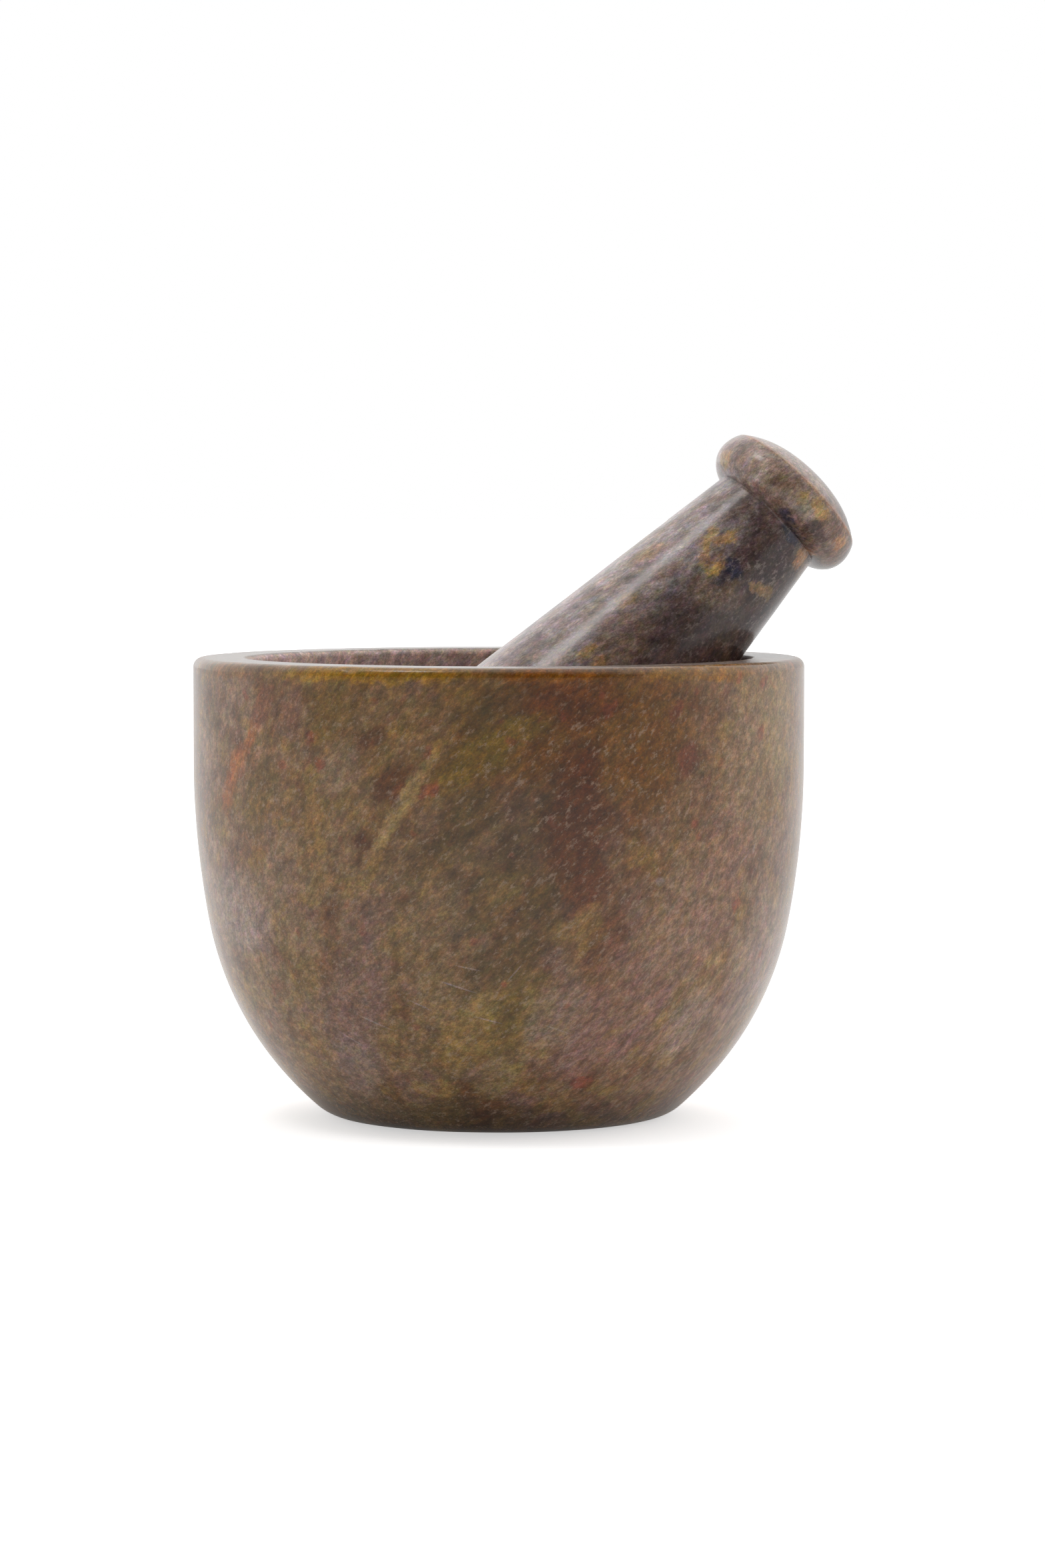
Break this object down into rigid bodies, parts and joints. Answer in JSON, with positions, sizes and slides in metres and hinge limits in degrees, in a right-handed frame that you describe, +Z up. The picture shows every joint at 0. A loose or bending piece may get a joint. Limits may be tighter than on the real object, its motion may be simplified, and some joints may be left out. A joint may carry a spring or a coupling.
{
  "type": "mortar and pestle",
  "caption": "Turned stone mortar with a thick wall, hemispherical bowl and flat foot, and a tapered stone pestle with a domed knob leaning on the rim.",
  "frame": {"origin": "centre of the mortar's flat foot, on the surface it stands on", "axes": "+Z up along the mortar's turning axis; the pestle leans towards +X in the XZ plane"},
  "size_m": [0.1424, 0.13, 0.1449],
  "materials": {
    "mortar_stone": "polished",
    "pestle_stone": "polished"
  },
  "bodies": {
    "mortar": {"mortar": "mortar_stone"},
    "pestle": {"pestle": "pestle_stone"}
  },
  "joints": [
    {"name": "pestle_lift", "type": "slide", "parent": "mortar", "child": "pestle", "axis": [0, 0, 1], "range_m": [0, 0.09]}
  ]
}
